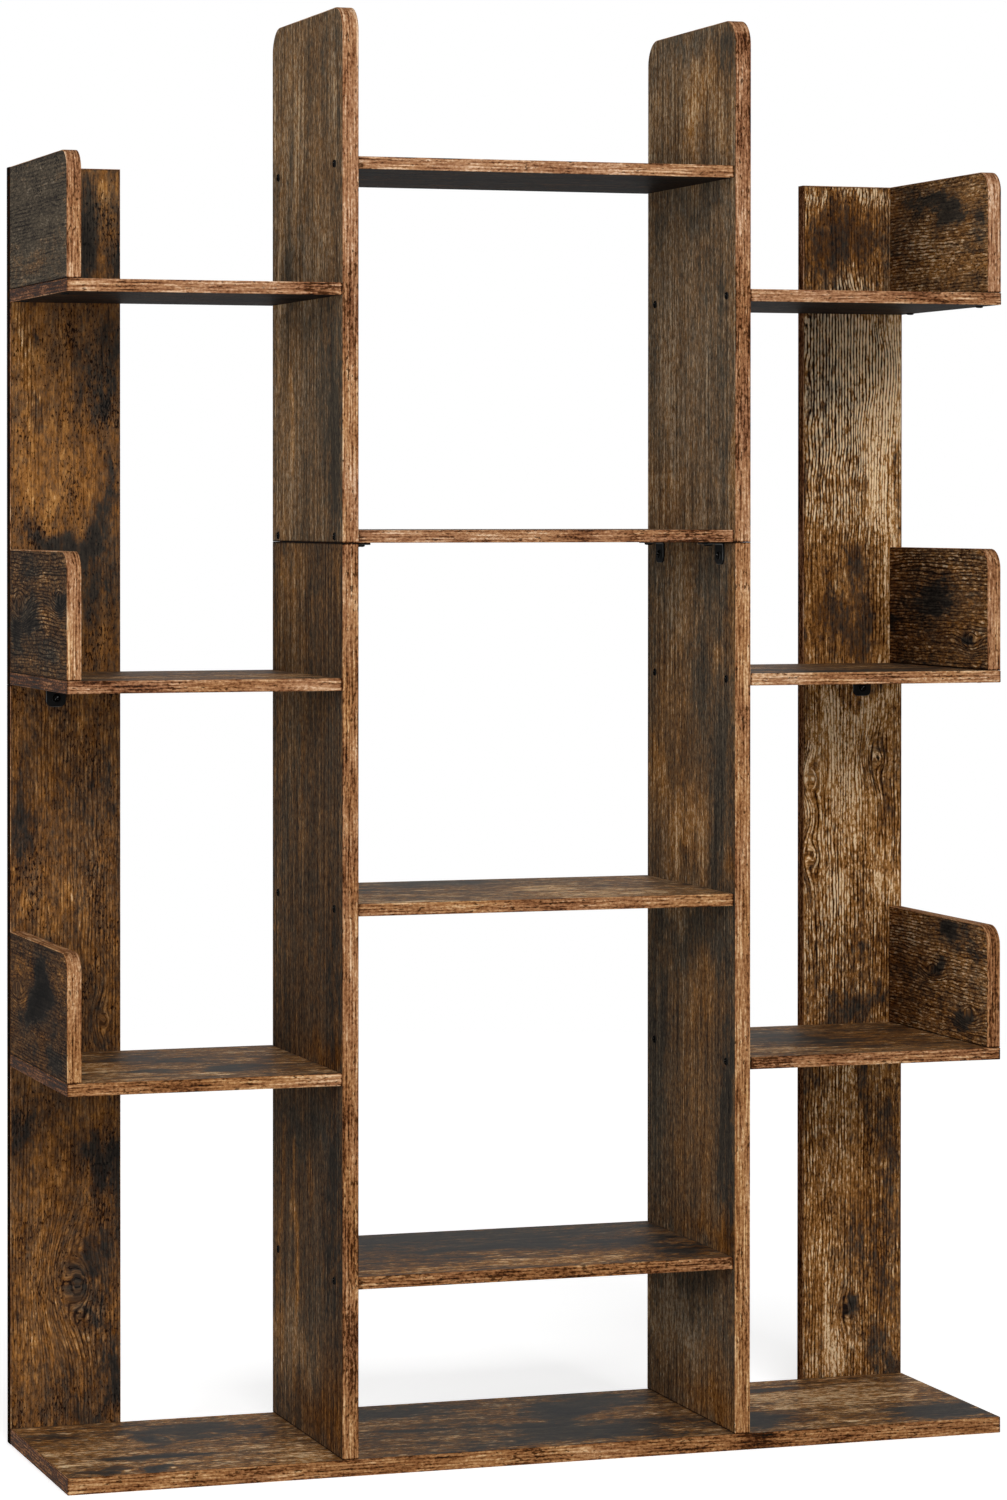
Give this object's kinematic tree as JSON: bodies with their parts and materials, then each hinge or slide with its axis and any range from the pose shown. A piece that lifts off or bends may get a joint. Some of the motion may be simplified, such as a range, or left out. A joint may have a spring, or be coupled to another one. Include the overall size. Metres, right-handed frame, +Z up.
{
  "type": "tree shaped bookshelf",
  "caption": "Free-standing tree shaped bookshelf: a trunk of tall uprights with shelves between them, and side shelves with end panels branching out to both sides above a base board.",
  "frame": {"origin": "on the floor under the middle of the bookshelf, halfway across its width and halfway between its front edges and the rear faces of its back panels", "axes": "+X to the right seen from the front, +Y towards the wall behind, +Z up"},
  "size_m": [0.956, 0.25, 1.4],
  "materials": {
    "trunk_wood": "printed dark grey-brown wood grain on laminated board, satin",
    "shelf_wood": "printed rustic brown wood grain on laminated board, satin, with lighter tan edges",
    "back_wood": "printed golden-brown rustic wood grain with dark blotches, satin",
    "end_wood": "printed charcoal-brown wood grain on laminated board, satin",
    "bracket_steel": "dark grey zinc-coated steel",
    "screw_steel": "blackened steel"
  },
  "bodies": {
    "root": {"base_board": "shelf_wood", "upright_left_lower": "trunk_wood", "upright_left_upper": "trunk_wood", "upright_right_lower": "trunk_wood", "upright_right_upper": "trunk_wood", "centre_shelf_1": "shelf_wood", "centre_shelf_2": "shelf_wood", "centre_shelf_3": "shelf_wood", "centre_shelf_4": "shelf_wood", "side_shelf_left_1": "shelf_wood", "side_shelf_left_2": "shelf_wood", "side_shelf_left_3": "shelf_wood", "side_shelf_right_1": "shelf_wood", "side_shelf_right_2": "shelf_wood", "side_shelf_right_3": "shelf_wood", "end_panel_left_1": "end_wood", "end_panel_left_2": "end_wood", "end_panel_left_3": "end_wood", "end_panel_right_1": "end_wood", "end_panel_right_2": "end_wood", "end_panel_right_3": "end_wood", "back_panel_left_lower": "back_wood", "back_panel_left_upper": "back_wood", "back_panel_right_lower": "back_wood", "back_panel_right_upper": "back_wood", "bracket_centre_left_front": "bracket_steel", "bracket_centre_left_rear": "bracket_steel", "bracket_centre_right_front": "bracket_steel", "bracket_centre_right_rear": "bracket_steel", "bracket_side_left": "bracket_steel", "bracket_side_right": "bracket_steel", "screw_centre_left_1_front": "screw_steel", "screw_centre_left_1_rear": "screw_steel", "screw_centre_left_2_front": "screw_steel", "screw_centre_left_2_rear": "screw_steel", "screw_centre_left_3_front": "screw_steel", "screw_centre_left_3_rear": "screw_steel", "screw_centre_left_4_front": "screw_steel", "screw_centre_left_4_rear": "screw_steel", "screw_centre_right_1_front": "screw_steel", "screw_centre_right_1_rear": "screw_steel", "screw_centre_right_2_front": "screw_steel", "screw_centre_right_2_rear": "screw_steel", "screw_centre_right_3_front": "screw_steel", "screw_centre_right_3_rear": "screw_steel", "screw_centre_right_4_front": "screw_steel", "screw_centre_right_4_rear": "screw_steel", "screw_side_left_1_front": "screw_steel", "screw_side_left_1_rear": "screw_steel", "screw_side_left_2_front": "screw_steel", "screw_side_left_2_rear": "screw_steel", "screw_side_left_3_front": "screw_steel", "screw_side_left_3_rear": "screw_steel", "screw_side_right_1_front": "screw_steel", "screw_side_right_1_rear": "screw_steel", "screw_side_right_2_front": "screw_steel", "screw_side_right_2_rear": "screw_steel", "screw_side_right_3_front": "screw_steel", "screw_side_right_3_rear": "screw_steel"}
  },
  "joints": []
}
